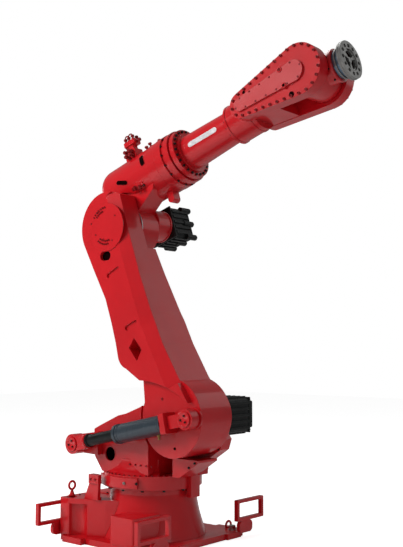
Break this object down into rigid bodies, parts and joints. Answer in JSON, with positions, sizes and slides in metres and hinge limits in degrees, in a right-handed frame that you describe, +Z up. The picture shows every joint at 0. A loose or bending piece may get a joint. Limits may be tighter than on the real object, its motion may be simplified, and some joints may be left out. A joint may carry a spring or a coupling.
{
  "type": "industrial robot arm",
  "caption": "Heavy industrial robot arm on a floor-bolted base with fork-lift pockets, a balancing cylinder beside the lower arm and a fork wrist with a round tool flange.",
  "frame": {"origin": "on the floor at the centre of the base, on the first rotation axis", "axes": "+Z up along axis 1, +X to the front, the way the arm reaches at rest, and +Y to the robot's left"},
  "size_m": [1.8753, 1.116, 2.7639],
  "materials": {
    "red_paint": "gloss red enamel",
    "black_motor": "satin black",
    "blue_grey_sleeve": "satin blue grey",
    "dark_flange": "blackened steel",
    "bright_steel": "machined"
  },
  "bodies": {
    "base": {"base_plate": "red_paint", "base_column": "red_paint", "base_housing": "red_paint", "side_box": "red_paint", "connector_panel": "dark_flange", "axis_1_stop_bracket": "red_paint", "fork_pocket_front_left": "red_paint", "fork_pocket_front_right": "red_paint", "fork_pocket_rear_left": "red_paint", "fork_pocket_rear_right": "red_paint", "lifting_eye_front_left": "red_paint", "lifting_eye_front_right": "red_paint", "lifting_eye_rear_left": "red_paint", "lifting_eye_rear_right": "red_paint"},
    "turret": {"turret_ring": "red_paint", "axis_1_stop_block": "red_paint", "turret_casting": "red_paint", "turret_gusset": "red_paint", "shoulder_housing": "red_paint", "axis_2_motor": "black_motor", "balancer_bracket": "red_paint"},
    "lower_arm": {"lower_arm_casting": "red_paint", "axis_3_cover": "red_paint", "axis_3_reducer": "bright_steel", "axis_2_reducer": "bright_steel", "balancer_pin": "red_paint"},
    "balancer_rear": {"balancer_clevis": "red_paint", "balancer_tube": "black_motor"},
    "balancer_front": {"balancer_sleeve": "blue_grey_sleeve", "balancer_flange": "red_paint", "balancer_eye": "red_paint"},
    "elbow": {"elbow_casting": "red_paint", "elbow_gear_ring": "red_paint", "elbow_lug": "red_paint", "air_manifold": "red_paint", "axis_3_adaptor": "red_paint", "axis_3_motor": "black_motor"},
    "forearm": {"forearm_flange": "red_paint", "forearm_tube": "red_paint", "wrist_yoke": "red_paint", "wrist_leg_right": "red_paint", "wrist_leg_left": "red_paint", "wrist_cover_right": "red_paint", "wrist_cover_left": "red_paint"},
    "wrist": {"wrist_body": "red_paint"},
    "tool_flange": {"tool_hub": "dark_flange", "tool_flange": "dark_flange"}
  },
  "joints": [
    {"name": "axis_1", "type": "hinge", "parent": "base", "child": "turret", "pos_m": [0, 0, 0.3], "axis": [0, 0, 1], "range_deg": [-180, 180]},
    {"name": "axis_2", "type": "hinge", "parent": "turret", "child": "lower_arm", "pos_m": [0.383, 0, 0.75], "axis": [0, 1, 0], "range_deg": [-20, 75]},
    {"name": "balancer_rear_swing", "type": "hinge", "parent": "turret", "child": "balancer_rear", "pos_m": [-0.357, -0.316, 0.562], "axis": [0, 1, 0], "range_deg": [-3.1, 11.4]},
    {"name": "balancer_front_swing", "type": "hinge", "parent": "lower_arm", "child": "balancer_front", "pos_m": [0.556, -0.316, 0.759], "axis": [0, 1, 0], "range_deg": [-63.9, 17.1]},
    {"name": "axis_3", "type": "hinge", "parent": "lower_arm", "child": "elbow", "pos_m": [-0.12408, 0, 1.87829], "axis": [0, -1, 0], "range_deg": [-70, 80]},
    {"name": "axis_4", "type": "hinge", "parent": "elbow", "child": "forearm", "pos_m": [-0.21369, 0, 2.1541], "axis": [0.9511, 0, 0.309], "range_deg": [-200, 200]},
    {"name": "axis_5", "type": "hinge", "parent": "forearm", "child": "wrist", "pos_m": [1.19863, 0, 2.61299], "axis": [0, 1, 0], "range_deg": [-121, 108]},
    {"name": "axis_6", "type": "hinge", "parent": "wrist", "child": "tool_flange", "pos_m": [1.19863, 0, 2.61299], "axis": [0.9799, 0, 0.1994], "range_deg": [-270, 270]}
  ],
  "couplings": [
    {"joint": "balancer_rear_swing", "follows": "axis_2", "ratio": 0.15},
    {"joint": "balancer_front_swing", "follows": "axis_2", "ratio": -0.85}
  ]
}
